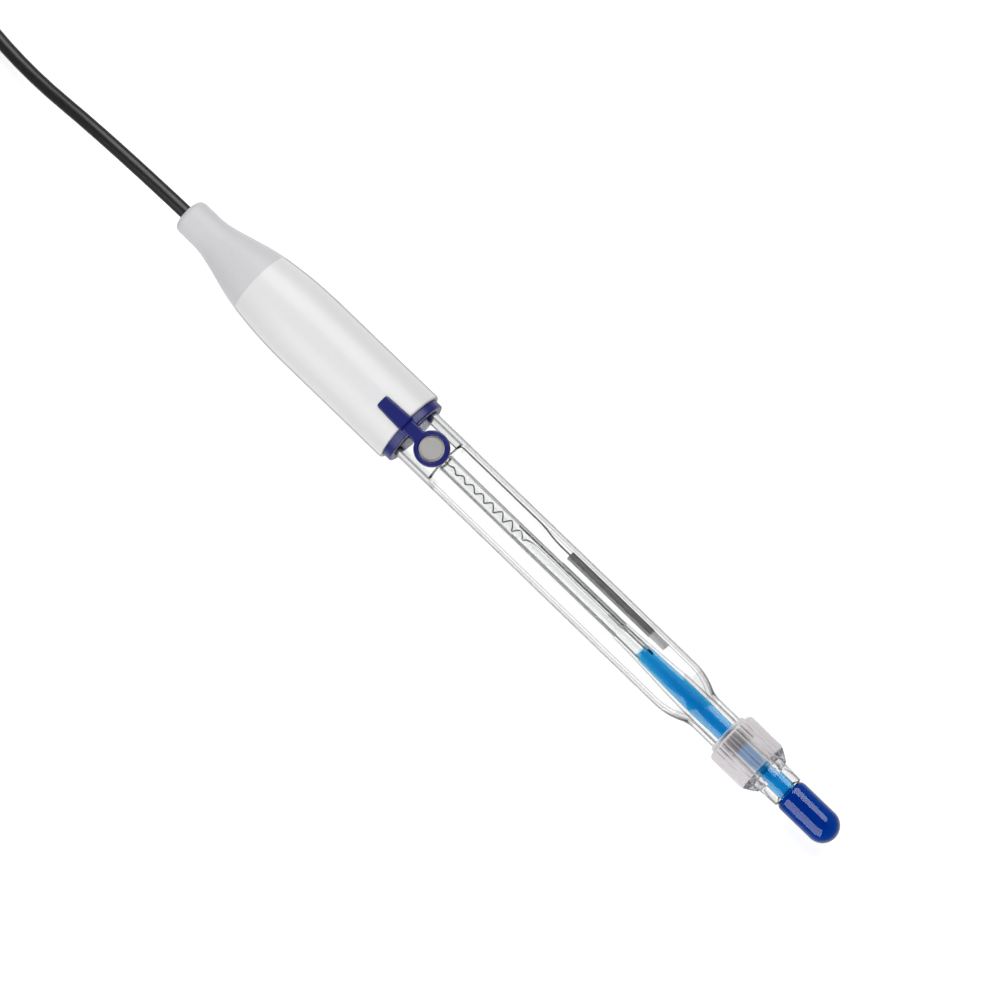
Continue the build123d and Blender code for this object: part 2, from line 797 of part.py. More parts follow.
def make_plug_boot():
    start = body_rear_start + body_rear_length + running
    ferrule_end = start + ferrule_length
    end = start + plug_boot_length
    boot = turned_points(
        (start, ferrule_d / 2 + press),
        (start, plug_boot_d / 2),
        (ferrule_end, plug_boot_d / 2),
        (end, plug_boot_end_d / 2),
        (end, cable_r + running),
        (ferrule_end, cable_r + running),
        (ferrule_end, ferrule_d / 2 + press),
    )
    pitch = (end - ferrule_end) / (plug_boot_rings + 1)
    for k in range(plug_boot_rings):
        x = ferrule_end + pitch * (k + 1)
        outside = plug_boot_d / 2 - (plug_boot_d - plug_boot_end_d) / 2 * (x - ferrule_end) / (end - ferrule_end)
        boot -= tube(
            x - plug_boot_ring_width / 2, x + plug_boot_ring_width / 2, plug_boot_d, outside - plug_boot_ring_depth
        )
    return boot


on_electrode = {
    "cap_housing": make_cap(),
    "cable_boot": make_boot(),
    "cap_potting": make_potting(),
    "outer_glass": make_outer_glass(),
    "electrolyte": make_electrolyte(),
    "top_seal": make_top_seal(),
    "inner_stem": make_stem(),
    "inner_gel": make_gel(),
    "membrane_bulb": make_bulb(),
    "inner_wire": make_inner_wire(),
    "inner_element": make_element(0),
    "reference_wire": make_reference_wire(0),
    "reference_cartridge": make_cartridge(0),
    "cartridge_plug": make_cartridge_plug(0),
    "junction_nut": make_nut(),
    "junction_sleeve": make_sleeve(),
    "nut_o_ring": make_o_ring(),
    "stopper_collar": make_collar(),
    "stopper_ring": make_ring(),
    "stopper_plug": make_plug(),
}
on_plug = {
    "bnc_coupling": make_coupling(),
    "bnc_body": make_plug_body(),
    "bnc_retaining_ring": make_retaining_ring(),
    "bnc_spring_washer": make_spring_washer(),
    "bnc_gasket": make_gasket(),
    "bnc_insulator": make_insulator(),
    "bnc_center_pin": make_pin(),
    "bnc_ferrule": make_ferrule(),
    "plug_boot": make_plug_boot(),
}
in_place = {
    "cable": make_cable(cable_points(), cable_r),
    "cable_hank": make_hank(),
    "cable_tail": make_cable(tail_points(), cable_r),
    "hank_tie": make_tie(),
}
laid = {name: lay_down * shape for name, shape in on_electrode.items()}
laid |= {name: Pos(*plug_place()) * shape for name, shape in on_plug.items()}
laid |= in_place
os.makedirs("parts", exist_ok=True)
for name, shape in laid.items():
    export_step(shape, f"parts/{name}.step")

for name, points in (("cable", cable_points()), ("tail", tail_points())):
    path = FilletPolyline(*points, radius=bend_radii(points))
    print(name, "radii", [round(r, 1) for r in bend_radii(points)], "length", round(path.length, 1))
    node = laid["cable" if name == "cable" else "cable_tail"]
    print(name, "volume", round(node.volume, 2), "section x length", round(math.pi * cable_r**2 * path.length, 2))
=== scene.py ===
import bmesh
import bpy
import json
import math
from mathutils import Matrix, Vector


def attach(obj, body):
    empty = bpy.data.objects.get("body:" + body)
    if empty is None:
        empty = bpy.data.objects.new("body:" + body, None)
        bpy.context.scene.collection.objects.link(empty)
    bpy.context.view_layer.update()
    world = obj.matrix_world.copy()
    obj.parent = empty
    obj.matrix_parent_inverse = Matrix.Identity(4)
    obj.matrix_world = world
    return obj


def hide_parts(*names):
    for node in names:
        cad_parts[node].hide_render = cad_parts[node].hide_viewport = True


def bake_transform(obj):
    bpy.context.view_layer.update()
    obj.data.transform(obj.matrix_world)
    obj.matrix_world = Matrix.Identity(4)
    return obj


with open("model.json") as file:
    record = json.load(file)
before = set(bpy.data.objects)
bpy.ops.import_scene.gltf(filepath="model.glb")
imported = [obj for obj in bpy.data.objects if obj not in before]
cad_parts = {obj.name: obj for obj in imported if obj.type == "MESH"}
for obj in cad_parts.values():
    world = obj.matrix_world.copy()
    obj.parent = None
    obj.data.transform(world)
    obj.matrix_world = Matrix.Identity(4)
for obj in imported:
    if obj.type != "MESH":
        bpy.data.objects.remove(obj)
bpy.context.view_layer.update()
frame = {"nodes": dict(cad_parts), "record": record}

scene = bpy.context.scene

# The electrode's own axis: it lies slightly tip down on its cap and its nut, as the record's mount gives it.
# Everything on it is placed by its station, in millimetres from the cap's mouth towards the tip.
MM = 0.001
shaft = next(m for m in frame["record"]["mounts"] if m["name"] == "shaft")
SHAFT_STATION = 43.0
axis = Vector(shaft["axis"]).normalized()
side = Vector((0, 1, 0))
above = axis.cross(side)
mouth = Vector(shaft["pos_m"]) - axis * SHAFT_STATION * MM
lay_down = Matrix((axis, side, above)).transposed().to_4x4()
lay_down.translation = mouth


def at(station, across=0.0, up=0.0):
    """A place on the electrode's own axes, in the row frame."""
    return lay_down @ Vector((station * MM, across * MM, up * MM))


# The view: from above, leaning a little towards the tip, with the cap at the upper left and the tip at the
# lower right. The picture is about 203 mm wide at the electrode, and its middle lies on the glass.
LEAN = math.radians(9.5)
TURN = math.radians(43.95)
DISTANCE = 1.2
VIEW_WIDTH = 0.2026
SENSOR = 36.0
MIDDLE_STATION = 23.7
MIDDLE_ACROSS = 2.12
toward_camera = Vector((math.sin(LEAN), 0, math.cos(LEAN)))
along = side.cross(toward_camera)
right = math.cos(TURN) * along + math.sin(TURN) * side
upward = math.cos(TURN) * side - math.sin(TURN) * along
camera_data = bpy.data.cameras.new("camera")
camera_data.sensor_width = SENSOR
camera_data.lens = SENSOR * DISTANCE / VIEW_WIDTH
camera_data.clip_start = 0.01
camera = bpy.data.objects.new("camera", camera_data)
camera.matrix_world = Matrix((right, upward, toward_camera)).transposed().to_4x4()
camera.matrix_world.translation = at(MIDDLE_STATION, MIDDLE_ACROSS) + toward_camera * DISTANCE
scene.collection.objects.link(camera)
scene.camera = camera
scene.view_settings.view_transform = "Standard"

# The cable: a 3 mm coaxial lead with a satin black jacket, one metre from the boot to the plug's crimp.
# It sinks to the table, makes the hank's five turns in three layers, and climbs to the plug.
CABLE_D = 3.0
CABLE_R = CABLE_D / 2
CABLE_START = -44.0
BOOT_END = -63.9
BOOT_STRAIGHT = 16.6
HANK = Vector((-197.0, 3.6, 0.0))
LOOP_CENTER = 24.5
LOOP_STEPS = (-100, -60, -20, 20, 60, 100)
STEP_HALF = math.radians(20)
TRACKS = ((9.3, 1.6), (12.1, 4.7))
TURNS = ((0, 0), (0, 1), (1, 0), (1, 1), (2, 1))
LAYER_RISE = 3.0
LEAD_RISE = 3.2
WAIST_HALF = 7.0
WAIST_LIFT = 0.75
WAIST_SQUEEZE = 0.9
PLUG_ACROSS = 1.5
PLUG_AXIS_Z = 16.5
CRIMP_X = -13.95
JACKET_SKIN = 0.00005


def dark_jacket(name, color, roughness, grain):
    """A satin rubber or vinyl: fine uneven gloss and a faint orange-peel skin."""
    material = bpy.data.materials.new(name)
    material.use_nodes = True
    nodes = material.node_tree.nodes
    links = material.node_tree.links
    bsdf = nodes["Principled BSDF"]
    place = nodes.new("ShaderNodeTexCoord")
    noise = nodes.new("ShaderNodeTexNoise")
    noise.inputs["Scale"].default_value = grain
    noise.inputs["Detail"].default_value = 4
    links.new(place.outputs["Object"], noise.inputs["Vector"])
    gloss = nodes.new("ShaderNodeMapRange")
    gloss.inputs["To Min"].default_value = roughness * 0.8
    gloss.inputs["To Max"].default_value = roughness * 1.25
    links.new(noise.outputs["Fac"], gloss.inputs["Value"])
    links.new(gloss.outputs["Result"], bsdf.inputs["Roughness"])
    tint = nodes.new("ShaderNodeMixRGB")
    tint.inputs["Color1"].default_value = (*[c * 0.8 for c in color], 1)
    tint.inputs["Color2"].default_value = (*[c * 1.3 for c in color], 1)
    links.new(noise.outputs["Fac"], tint.inputs["Fac"])
    links.new(tint.outputs["Color"], bsdf.inputs["Base Color"])
    bump = nodes.new("ShaderNodeBump")
    bump.inputs["Strength"].default_value = 0.15
    bump.inputs["Distance"].default_value = JACKET_SKIN
    links.new(noise.outputs["Fac"], bump.inputs["Height"])
    links.new(bump.outputs["Normal"], bsdf.inputs["Normal"])
    return material


def loop_points(end, start_side, radius, heights):
    """One end loop of the hank, from the strand on start_side round to the other."""
    points = []
    reach = radius / math.cos(STEP_HALF)
    for step, height in zip(LOOP_STEPS, heights):
        angle = math.radians(step) * -start_side
        points.append((end * (LOOP_CENTER + reach * math.cos(angle)), reach * math.sin(angle), height))
    return points


def hank_points():
    """The turns of the hank about its own middle: two tracks side by side in each of three layers."""
    points = []
    for number, (layer, track) in enumerate(TURNS):
        radius, waist = TRACKS[track]
        z = CABLE_R + layer * LAYER_RISE
        waist_z = CABLE_R + WAIST_LIFT + layer * LAYER_RISE * WAIST_SQUEEZE
        last = number == len(TURNS) - 1
        raised = [z, z, z + LEAD_RISE, z + LEAD_RISE, z + LEAD_RISE if last else z, z]
        points += [(WAIST_HALF, waist, waist_z), (-WAIST_HALF, waist, waist_z)]
        points += loop_points(-1, 1, radius, [z] * len(LOOP_STEPS))
        points += [(-WAIST_HALF, -waist, waist_z), (WAIST_HALF, -waist, waist_z)]
        points += loop_points(1, -1, radius, raised[:-1] if last else raised)
    return [HANK + Vector(p) for p in points]


lead_in = [
    at(CABLE_START) / MM,
    at(BOOT_END - BOOT_STRAIGHT) / MM,
    Vector((-147.0, -2.6, CABLE_R)),
    HANK + Vector((LOOP_CENTER - 8.0, CABLE_R, CABLE_R)),
]
tail = [
    HANK + Vector((19.5, 10.6, 10.7)),
    HANK + Vector((2.7, PLUG_ACROSS, PLUG_AXIS_Z)),
    HANK + Vector((CRIMP_X, PLUG_ACROSS, PLUG_AXIS_Z)),
]
route = lead_in + hank_points() + tail
cable_curve = bpy.data.curves.new("cable_run", "CURVE")
cable_curve.dimensions = "3D"
cable_curve.bevel_depth = CABLE_R * MM
cable_curve.bevel_resolution = 8
cable_curve.resolution_u = 8
cable_curve.use_fill_caps = True
spline = cable_curve.splines.new("NURBS")
spline.points.add(len(route) - 1)
for point, place in zip(spline.points, route):
    point.co = (*(place * MM), 1)
spline.order_u = 3
spline.use_endpoint_u = True
cable = bpy.data.objects.new("cable_run", cable_curve)
scene.collection.objects.link(cable)
black_jacket = dark_jacket("black_jacket", (0.016, 0.016, 0.017), 0.34, 900)
cable_curve.materials.append(black_jacket)
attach(cable, "root")
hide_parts("cable", "cable_hank", "cable_tail")

# The hank's tie: one band of soft hook-and-loop tape, pulled tight round the waist of the bundle.
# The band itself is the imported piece; here it gets its napped, slightly uneven black surface.
tape_black = dark_jacket("tape_black", (0.02, 0.02, 0.021), 0.85, 2600)


def dress(node, material):
    """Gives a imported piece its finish."""
    piece = frame["nodes"][node]
    piece.data.materials.clear()
    piece.data.materials.append(material)


dress("hank_tie", tape_black)

# The plug at the cable's end: a bayonet coupling and body of nickel-plated brass with a gold centre contact.
# A rubber boot covers the crimped ferrule, and a white insulator holds the contact in the body.
NICKEL = (0.62, 0.6, 0.56)
SPRING_STEEL = (0.38, 0.38, 0.38)
GOLD = (0.83, 0.6, 0.24)
WHITE_INSULATOR = (0.82, 0.82, 0.8)
FINE_SKIN = 0.00002
TURNING_MARKS = (6, 1, 1)
# Facing values where the painted shade on a moulded plastic's outline begins and where it is full.
PAINTED_RIM_FADE = (0.68, 0.86)


def plated_metal(name, color, roughness, scratch_scale):
    """A plated or polished metal with faint turning marks and uneven gloss."""
    material = bpy.data.materials.new(name)
    material.use_nodes = True
    nodes = material.node_tree.nodes
    links = material.node_tree.links
    bsdf = nodes["Principled BSDF"]
    bsdf.inputs["Metallic"].default_value = 1
    bsdf.inputs["Base Color"].default_value = (*color, 1)
    place = nodes.new("ShaderNodeTexCoord")
    stretch = nodes.new("ShaderNodeMapping")
    stretch.inputs["Scale"].default_value = TURNING_MARKS
    noise = nodes.new("ShaderNodeTexNoise")
    noise.inputs["Scale"].default_value = scratch_scale
    noise.inputs["Detail"].default_value = 5
    links.new(place.outputs["Object"], stretch.inputs["Vector"])
    links.new(stretch.outputs["Vector"], noise.inputs["Vector"])
    gloss = nodes.new("ShaderNodeMapRange")
    gloss.inputs["To Min"].default_value = roughness * 0.7
    gloss.inputs["To Max"].default_value = roughness * 1.4
    links.new(noise.outputs["Fac"], gloss.inputs["Value"])
    links.new(gloss.outputs["Result"], bsdf.inputs["Roughness"])
    bump = nodes.new("ShaderNodeBump")
    bump.inputs["Strength"].default_value = 0.12
    bump.inputs["Distance"].default_value = FINE_SKIN
    links.new(noise.outputs["Fac"], bump.inputs["Height"])
    links.new(bump.outputs["Normal"], bsdf.inputs["Normal"])
    return material


def moulded(name, color, roughness, grain, mottle=0.015, bump_strength=0.08, painted_rim_shade=1.0):
    """A slightly mottled moulded plastic or rubber with a fine skin; its last value, below 1, paints shade on
    its outline.
    """
    material = bpy.data.materials.new(name)
    material.use_nodes = True
    nodes = material.node_tree.nodes
    links = material.node_tree.links
    bsdf = nodes["Principled BSDF"]
    place = nodes.new("ShaderNodeTexCoord")
    noise = nodes.new("ShaderNodeTexNoise")
    noise.inputs["Scale"].default_value = grain
    noise.inputs["Detail"].default_value = 3
    links.new(place.outputs["Object"], noise.inputs["Vector"])
    tint = nodes.new("ShaderNodeMixRGB")
    tint.inputs["Color1"].default_value = (*[c * (1 - mottle) for c in color], 1)
    tint.inputs["Color2"].default_value = (*[min(c * (1 + mottle), 1) for c in color], 1)
    links.new(noise.outputs["Fac"], tint.inputs["Fac"])
    links.new(tint.outputs["Color"], bsdf.inputs["Base Color"])
    # Painted shade: the colour darkens towards the outline, where the surface turns away from the view.
    if painted_rim_shade < 1:
        facing = nodes.new("ShaderNodeLayerWeight")
        facing.inputs["Blend"].default_value = 0.5
        fall = nodes.new("ShaderNodeValToRGB")
        fall.color_ramp.elements[0].position = PAINTED_RIM_FADE[0]
        fall.color_ramp.elements[0].color = (1, 1, 1, 1)
        fall.color_ramp.elements[1].position = PAINTED_RIM_FADE[1]
        fall.color_ramp.elements[1].color = (painted_rim_shade, painted_rim_shade, painted_rim_shade, 1)
        shade = nodes.new("ShaderNodeMixRGB")
        shade.blend_type = "MULTIPLY"
        shade.inputs["Fac"].default_value = 1
        links.new(facing.outputs["Facing"], fall.inputs["Fac"])
        links.new(tint.outputs["Color"], shade.inputs["Color1"])
        links.new(fall.outputs["Color"], shade.inputs["Color2"])
        links.new(shade.outputs["Color"], bsdf.inputs["Base Color"])
    gloss = nodes.new("ShaderNodeMapRange")
    gloss.inputs["To Min"].default_value = roughness * 0.9
    gloss.inputs["To Max"].default_value = roughness * 1.1
    links.new(noise.outputs["Fac"], gloss.inputs["Value"])
    links.new(gloss.outputs["Result"], bsdf.inputs["Roughness"])
    bump = nodes.new("ShaderNodeBump")
    bump.inputs["Strength"].default_value = bump_strength
    bump.inputs["Distance"].default_value = FINE_SKIN
    links.new(noise.outputs["Fac"], bump.inputs["Height"])
    links.new(bump.outputs["Normal"], bsdf.inputs["Normal"])
    return material


nickel = plated_metal("nickel_plate", NICKEL, 0.2, 1500)
spring_steel = plated_metal("spring_steel", SPRING_STEEL, 0.32, 1200)
gold_contact = plated_metal("gold_contact", GOLD, 0.15, 2000)
insulator_white = moulded("insulator_white", WHITE_INSULATOR, 0.5, 1500)
plug_rubber = dark_jacket("plug_rubber", (0.018, 0.018, 0.019), 0.55, 1800)
for node in ("bnc_body", "bnc_coupling", "bnc_ferrule"):
    dress(node, nickel)
for node in ("bnc_spring_washer", "bnc_retaining_ring"):
    dress(node, spring_steel)
for node in ("plug_boot", "bnc_gasket"):
    dress(node, plug_rubber)
dress("bnc_center_pin", gold_contact)
dress("bnc_insulator", insulator_white)

# The boot: a soft pale grey sleeve, moulded over the cable, whose spigot is glued into the back of the cap.
# Its skin is satin, a little cooler than the white plastic beside it.
BOOT_GREY = (0.68, 0.68, 0.7)
dress("cable_boot", moulded("boot_grey", BOOT_GREY, 0.5, 700, mottle=0.02, bump_strength=0.15))

# The cap: a glossy white handle, moulded in one piece, with a barrel-shaped rear and a slot for the tab.
# The glass and the boot are glued into it, and the resin inside holds the wires.
CAP_WHITE = (0.83, 0.83, 0.84)
RESIN = (0.66, 0.65, 0.62)
# The cap's white gets painted shade along its outline, darker where the surface turns from the view.
dress("cap_housing", moulded("cap_white", CAP_WHITE, 0.34, 400, mottle=0.008, bump_strength=0.03, painted_rim_shade=0.3))
resin = moulded("potting_resin", RESIN, 0.4, 900)
dress("cap_potting", resin)
dress("top_seal", resin)

# The outer glass: a 12 mm tube with a 1 mm wall and a refill hole, drawn in to a rounded shoulder and a neck.
# Each face bends light as its own border does: glass against air, or glass against the liquid inside.
GLASS_R = 6.0
BORE_R = 5.0
GLASS_TOP = -24.0
SHOULDER = 75.0
NECK_START = 84.2
NECK_END = 94.0
NECK_R = 3.95
NECK_BORE_R = 2.95
SHOULDER_FULLNESS = 0.69
FILL_LEVEL = 10.9
REFILL_STATION = 7.5
REFILL_R = 1.7
GLASS_IOR = 1.47
LIQUID_IOR = 1.33
EDGE_STEPS = 20
ROUND_STEPS = 160
DRILL_STEPS = 48
SHARP_ANGLE = math.radians(32)
SAME_PLACE = 0.0005
MELT = 0.3
LAMP_TINT = (0.92, 0.92, 0.92)


def clear_material(name, ior, face, edge_shade, fade=(0.5, 0.88), past_shade_line=None):
    """A clear border between two media: grazed, its tint fades to painted shade, or with a third colour to a
    thin painted dark line.
    """
    material = bpy.data.materials.new(name)
    material.use_nodes = True
    nodes = material.node_tree.nodes
    links = material.node_tree.links
    bsdf = nodes["Principled BSDF"]
    bsdf.inputs["Transmission Weight"].default_value = 1
    bsdf.inputs["Roughness"].default_value = 0
    bsdf.inputs["IOR"].default_value = ior
    # Painted shade: the tint darkens as the surface is grazed, standing in for the dark lines of bent light
    # at a glass's outline.
    facing = nodes.new("ShaderNodeLayerWeight")
    facing.inputs["Blend"].default_value = 0.5
    ramp = nodes.new("ShaderNodeValToRGB")
    ramp.color_ramp.elements[0].position = fade[0]
    ramp.color_ramp.elements[0].color = (*face, 1)
    ramp.color_ramp.elements[1].position = fade[1]
    ramp.color_ramp.elements[1].color = (*edge_shade, 1)
    if past_shade_line:
        ramp.color_ramp.elements.new(2 * fade[1] - fade[0]).color = (*past_shade_line, 1)
    links.new(facing.outputs["Facing"], ramp.inputs["Fac"])
    links.new(ramp.outputs["Color"], bsdf.inputs["Base Color"])
    see_through = nodes.new("ShaderNodeBsdfTransparent")
    see_through.inputs["Color"].default_value = (*LAMP_TINT, 1)
    ray = nodes.new("ShaderNodeLightPath")
    mix = nodes.new("ShaderNodeMixShader")
    links.new(ray.outputs["Is Shadow Ray"], mix.inputs["Fac"])
    links.new(bsdf.outputs["BSDF"], mix.inputs[1])
    links.new(see_through.outputs["BSDF"], mix.inputs[2])
    links.new(mix.outputs["Shader"], nodes["Material Output"].inputs["Surface"])
    return material


def arc(x0, r0, x1, r1, center_x, center_r, steps=EDGE_STEPS):
    """Points of a round stretch of an outline, without its first point."""
    first = math.atan2(r0 - center_r, x0 - center_x)
    last = math.atan2(r1 - center_r, x1 - center_x)
    radius = math.hypot(x0 - center_x, r0 - center_r)
    angles = [first + (last - first) * k / steps for k in range(1, steps + 1)]
    return [(center_x + radius * math.cos(a), center_r + radius * math.sin(a)) for a in angles]


def shoulder_line(r0, r1):
    """The shoulder's two arcs, from the tube's radius down to the neck's."""
    run, drop = NECK_START - SHOULDER, r0 - r1
    radii = (run * run + drop * drop) / (2 * drop)
    angle = math.asin(run / radii)
    bulge, hollow = SHOULDER_FULLNESS * radii, (1 - SHOULDER_FULLNESS) * radii
    meet = (SHOULDER + bulge * math.sin(angle), r0 - bulge * (1 - math.cos(angle)))
    line = [(SHOULDER, r0)]
    line += arc(SHOULDER, r0, *meet, SHOULDER, r0 - bulge)
    line += arc(*meet, NECK_START, r1, NECK_START, r1 + hollow)
    return line


def turned_piece(name, runs, materials, closed=True, steps=ROUND_STEPS, radius_at=None):
    """A piece turned about the electrode's axis, from the stretches of its outline with their finishes."""
    outline, finishes = [], []
    for points, finish in runs:
        for point in points:
            if outline and math.dist(outline[-1], point) < SAME_PLACE:
                continue
            outline.append(point)
            finishes.append(finish)
    if closed and math.dist(outline[0], outline[-1]) < SAME_PLACE:
        outline.pop()
        finishes.pop()
    mesh = bmesh.new()
    rings = []
    for x, r in outline:
        if r < SAME_PLACE:
            rings.append([mesh.verts.new(at(x))])
            continue
        ring = []
        for k in range(steps):
            angle = 2 * math.pi * k / steps
            reach = radius_at(x, r, angle) if radius_at else r
            ring.append(mesh.verts.new(at(x, reach * math.sin(angle), reach * math.cos(angle))))
        rings.append(ring)
    pairs = list(zip(range(len(rings)), range(1, len(rings))))
    if closed:
        pairs.append((len(rings) - 1, 0))
    for first, second in pairs:
        a, b = rings[first], rings[second]
        if len(a) == 1 and len(b) == 1:
            continue
        for k in range(steps):
            corners = [a[k % len(a)], a[(k + 1) % len(a)], b[(k + 1) % len(b)], b[k % len(b)]]
            face = mesh.faces.new(list(dict.fromkeys(corners)))
            face.material_index = finishes[second]
            face.smooth = True
    bmesh.ops.recalc_face_normals(mesh, faces=mesh.faces)
    data = bpy.data.meshes.new(name)
    mesh.to_mesh(data)
    mesh.free()
    data.set_sharp_from_angle(angle=SHARP_ANGLE)
    for material in materials:
        data.materials.append(material)
    piece = bpy.data.objects.new(name, data)
    scene.collection.objects.link(piece)
    return piece


def stand_for(piece, body, slot, *nodes):
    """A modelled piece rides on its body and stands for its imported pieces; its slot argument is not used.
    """
    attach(piece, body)
    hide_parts(*nodes)
    return piece


# The glass borders get painted shade towards their outline; the wet bore's is a thin painted dark line inside
# it.
PAINTED_EDGE_SHADE = (0.1, 0.105, 0.11)
WET_IOR = GLASS_IOR / LIQUID_IOR
glass_to_air = clear_material("glass_to_air", GLASS_IOR, (0.955, 0.96, 0.96), PAINTED_EDGE_SHADE, (0.5, 0.68))
glass_to_liquid = clear_material("glass_to_liquid", WET_IOR, (0.99, 0.99, 0.99), (0.8, 0.8, 0.8))
bore_to_liquid = clear_material(
    "bore_to_liquid", WET_IOR, (0.99, 0.99, 0.99), (0.36, 0.36, 0.37), (0.262, 0.29), (0.9, 0.9, 0.9)
)
outer_glass = turned_piece(
    "outer_glass_tube",
    [
        ([(GLASS_TOP, BORE_R), (GLASS_TOP, GLASS_R)], 0),
        (shoulder_line(GLASS_R, NECK_R), 0),
        ([(NECK_END - MELT, NECK_R), (NECK_END, NECK_R - MELT), (NECK_END, NECK_BORE_R + MELT)], 0),
        ([(NECK_END - MELT, NECK_BORE_R)], 0),
        (shoulder_line(BORE_R, NECK_BORE_R)[::-1], 1),
        ([(FILL_LEVEL, BORE_R)], 1),
        ([(GLASS_TOP, BORE_R)], 0),
    ],
    [glass_to_air, bore_to_liquid],
)
drill = bmesh.new()
bmesh.ops.create_cone(
    drill,
    cap_ends=True,
    segments=DRILL_STEPS,
    radius1=REFILL_R * MM,
    radius2=REFILL_R * MM,
    depth=GLASS_R * MM,
)
drill_data = bpy.data.meshes.new("refill_drill")
drill.to_mesh(drill_data)
drill.free()
drill_piece = bpy.data.objects.new("refill_drill", drill_data)
drill_piece.matrix_world = lay_down @ Matrix.Translation((REFILL_STATION * MM, 0, GLASS_R * MM))
scene.collection.objects.link(drill_piece)
cut = outer_glass.modifiers.new("refill_hole", "BOOLEAN")
cut.operation = "DIFFERENCE"
cut.object = drill_piece
bpy.context.view_layer.update()
drilled = bpy.data.meshes.new_from_object(outer_glass.evaluated_get(bpy.context.evaluated_depsgraph_get()))
outer_glass.modifiers.clear()
outer_glass.data = drilled
bpy.data.objects.remove(drill_piece)
stand_for(outer_glass, "root", "clear_glass", "outer_glass")

# The fill: clear reference electrolyte, up to a level just below the refill hole, with a curved top.
# Only its top bends light here, because the glass round it already does so for its sides.
FILM = 0.02
STEM_R = 1.55
STEM_WIDE_R = 2.3
FLARE_START = 60.0
FLARE_END = 82.0
MENISCUS = 0.5
MENISCUS_SPREAD = 0.99
MENISCUS_STEPS = 16
clear_side = bpy.data.materials.new("liquid_side")
clear_side.use_nodes = True
side_nodes = clear_side.node_tree.nodes
side_clear = side_nodes.new("ShaderNodeBsdfTransparent")
clear_side.node_tree.links.new(side_clear.outputs["BSDF"], side_nodes["Material Output"].inputs["Surface"])
# The meniscus's tint gets painted shade where it is grazed.
liquid_top = clear_material("liquid_top", LIQUID_IOR, (0.98, 0.98, 0.98), (0.35, 0.36, 0.36))
meniscus_middle = (STEM_R + BORE_R) / 2
meniscus_half = (BORE_R - STEM_R) / 2
meniscus_line = []
for k in range(MENISCUS_STEPS + 1):
    share = 2 * k / MENISCUS_STEPS - 1
    reach = meniscus_middle + meniscus_half * share * MENISCUS_SPREAD
    meniscus_line.append((FILL_LEVEL - MENISCUS * share ** 2, reach))
electrolyte = turned_piece(
    "reference_fill",
    [
        (meniscus_line, 0),
        ([(SHOULDER, BORE_R - FILM)], 1),
        ([(x, r) for x, r in shoulder_line(BORE_R - FILM, NECK_BORE_R - FILM)], 1),
        ([(NECK_END, NECK_BORE_R - FILM), (NECK_END, STEM_WIDE_R + FILM)], 1),
        ([(FLARE_END, STEM_WIDE_R + FILM), (FLARE_START, STEM_R + FILM)], 1),
        ([meniscus_line[0]], 1),
    ],
    [liquid_top, clear_side],
)
stand_for(electrolyte, "root", "electrolyte", "electrolyte")

# The inner stem: a thin clear tube down the middle, sealed at its top, with a wide ground cone at the bulb.
# It stands in the liquid. Its bore holds gel at the bottom, then a long bubble of air, and liquid above that.
STEM_BORE_R = 1.3
CONE_START = 103.0
BULB_START = 107.2
CONE_END_R = 3.1
THROAT_R = 2.65
GEL_LEVEL = 66.1
GEL_LOW_R = 1.55
GEL_NECK = (88.0, 1.6)
GEL_WIDE = (81.6, 1.68)
GEL_FLARE = 1.1
GEL_DISH = ((0.0, 0.0), (0.2, 0.9))
GEL_DISH_DEPTH = 0.55
BUBBLE_TOP = 30.5
EASE_STEPS = 16


def eased(x0, r0, x1, r1):
    """A smooth rise from one radius to another, level at both ends."""
    line = []
    for k in range(EASE_STEPS + 1):
        share = k / EASE_STEPS
        line.append((x0 + (x1 - x0) * share, r0 + (r1 - r0) * share * share * (3 - 2 * share)))
    return line


bore_line = eased(FLARE_START, STEM_BORE_R, *GEL_WIDE) + eased(*GEL_WIDE, *GEL_NECK)
bore_line += eased(*GEL_NECK, CONE_START, GEL_LOW_R)
bore_line += [(BULB_START - GEL_FLARE, GEL_LOW_R), (BULB_START, THROAT_R)]
dry_bore = [p for p in bore_line if p[0] < GEL_LEVEL]
wet_bore = [p for p in bore_line if p[0] >= GEL_LEVEL]
# The stem's borders get painted shade where they are grazed.
stem_to_air = clear_material("stem_to_air", GLASS_IOR, (0.97, 0.975, 0.975), (0.15, 0.16, 0.165))
stem_to_liquid = clear_material("stem_to_liquid", WET_IOR, (0.98, 0.98, 0.98), (0.1, 0.12, 0.17), (0.4, 0.75))
inner_stem = turned_piece(
    "inner_stem_tube",
    [
        ([(GLASS_TOP, STEM_BORE_R), (GLASS_TOP, STEM_R), (FILL_LEVEL, STEM_R)], 0),
        (eased(FLARE_START, STEM_R, FLARE_END, STEM_WIDE_R), 1),
        ([(CONE_START, STEM_WIDE_R), (BULB_START, CONE_END_R), (BULB_START, THROAT_R)], 1),
        (wet_bore[::-1], 1),
        (dry_bore[::-1] + [(BUBBLE_TOP, STEM_BORE_R)], 0),
        ([(FILL_LEVEL, STEM_BORE_R)], 1),
        ([(GLASS_TOP, STEM_BORE_R)], 0),
    ],
    [stem_to_air, stem_to_liquid],
)
stand_for(inner_stem, "root", "clear_glass", "inner_stem")

# The bulb: thin pH glass, blown round and fused to the stem's cone. Blue gel fills it and the lower stem.
# The gel's colour deepens with its depth, so that it is bright in the stem and dark in the bulb.
BULB_R = 3.6
BULB_WALL = 0.45
TIP = 120.0
BULB_SHOULDER = 1.2
GEL_CLEARNESS = (0.0, 0.71, 0.9)
GEL_DEPTH = 1750
GEL_SHADOW = (0.2, 0.2, 0.2)


